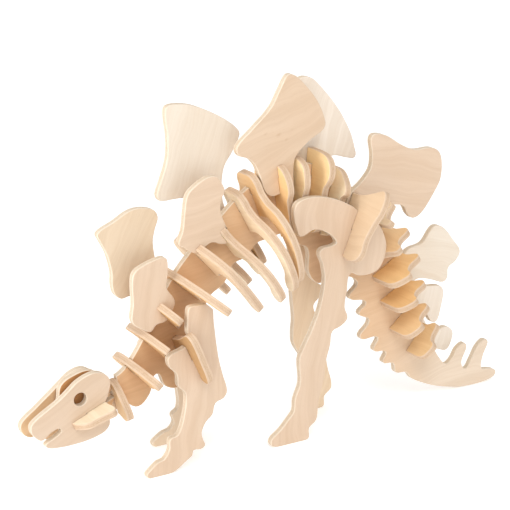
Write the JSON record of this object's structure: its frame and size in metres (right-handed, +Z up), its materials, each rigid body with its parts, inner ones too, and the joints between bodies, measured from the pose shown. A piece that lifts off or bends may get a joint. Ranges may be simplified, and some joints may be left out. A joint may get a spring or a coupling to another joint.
{
  "type": "slot-together plywood dinosaur skeleton puzzle",
  "caption": "Slot-together plywood stegosaurus skeleton: an arched spine plate with ribs, legs, skull sides and two rows of lift-out back plates.",
  "frame": {"origin": "middle of the bounding box in plan, on the floor under the feet; the spine plate lies in the plane y = 0", "axes": "+X from the snout towards the tail tip, +Y towards the animal's right side, +Z up"},
  "size_m": [0.2277, 0.0562, 0.152],
  "materials": {
    "ply_tan": "bare sanded birch plywood, pinkish tan",
    "ply_cream": "bare sanded birch plywood, pale cream",
    "ply_warm": "bare sanded birch plywood, warm face"
  },
  "bodies": {
    "skeleton": {"spine": "ply_tan", "skull_near": "ply_tan", "skull_far": "ply_tan", "cheek_bar": "ply_warm", "neck_1": "ply_warm", "neck_2": "ply_warm", "neck_3": "ply_warm", "rib_1": "ply_warm", "rib_2": "ply_warm", "rib_3": "ply_warm", "rib_4": "ply_warm", "rib_5": "ply_warm", "rib_6": "ply_warm", "rib_7": "ply_warm", "back_1": "ply_warm", "back_2": "ply_warm", "back_3": "ply_warm", "pelvis": "ply_warm", "shoulder": "ply_warm", "tail_1": "ply_warm", "tail_2": "ply_warm", "tail_3": "ply_warm", "tail_4": "ply_warm", "tail_5": "ply_warm", "tail_6": "ply_warm", "front_leg_near": "ply_tan", "front_leg_far": "ply_cream", "hind_leg_near": "ply_tan", "hind_leg_far": "ply_cream"},
    "plate_near_1_lift": {"plate_near_1": "ply_tan"},
    "plate_near_2_lift": {"plate_near_2": "ply_tan"},
    "plate_near_3_lift": {"plate_near_3": "ply_tan"},
    "plate_near_4_lift": {"plate_near_4": "ply_tan"},
    "plate_far_1_lift": {"plate_far_1": "ply_cream"},
    "plate_far_2_lift": {"plate_far_2": "ply_cream"},
    "plate_far_3_lift": {"plate_far_3": "ply_cream"},
    "plate_far_4_lift": {"plate_far_4": "ply_cream"},
    "plate_far_5_lift": {"plate_far_5": "ply_cream"},
    "plate_far_6_lift": {"plate_far_6": "ply_cream"}
  },
  "joints": [
    {"name": "plate_near_1_slide", "type": "slide", "parent": "skeleton", "child": "plate_near_1_lift", "axis": [-0.6947, 0, 0.7193], "range_m": [0, 0.01]},
    {"name": "plate_near_2_slide", "type": "slide", "parent": "skeleton", "child": "plate_near_2_lift", "axis": [-0.6018, 0, 0.7986], "range_m": [0, 0.01]},
    {"name": "plate_near_3_slide", "type": "slide", "parent": "skeleton", "child": "plate_near_3_lift", "axis": [-0.1564, 0, 0.9877], "range_m": [0, 0.01]},
    {"name": "plate_near_4_slide", "type": "slide", "parent": "skeleton", "child": "plate_near_4_lift", "axis": [0.3907, 0, 0.9205], "range_m": [0, 0.01]},
    {"name": "plate_far_1_slide", "type": "slide", "parent": "skeleton", "child": "plate_far_1_lift", "axis": [-0.6947, 0, 0.7193], "range_m": [0, 0.01]},
    {"name": "plate_far_2_slide", "type": "slide", "parent": "skeleton", "child": "plate_far_2_lift", "axis": [-0.6018, 0, 0.7986], "range_m": [0, 0.01]},
    {"name": "plate_far_3_slide", "type": "slide", "parent": "skeleton", "child": "plate_far_3_lift", "axis": [0.1045, 0, 0.9945], "range_m": [0, 0.01]},
    {"name": "plate_far_4_slide", "type": "slide", "parent": "skeleton", "child": "plate_far_4_lift", "axis": [0.8829, 0, 0.4695], "range_m": [0, 0.009]},
    {"name": "plate_far_5_slide", "type": "slide", "parent": "skeleton", "child": "plate_far_5_lift", "axis": [0.766, 0, 0.6428], "range_m": [0, 0.002]},
    {"name": "plate_far_6_slide", "type": "slide", "parent": "skeleton", "child": "plate_far_6_lift", "axis": [0.6157, 0, 0.788], "range_m": [0, 0.002]}
  ]
}
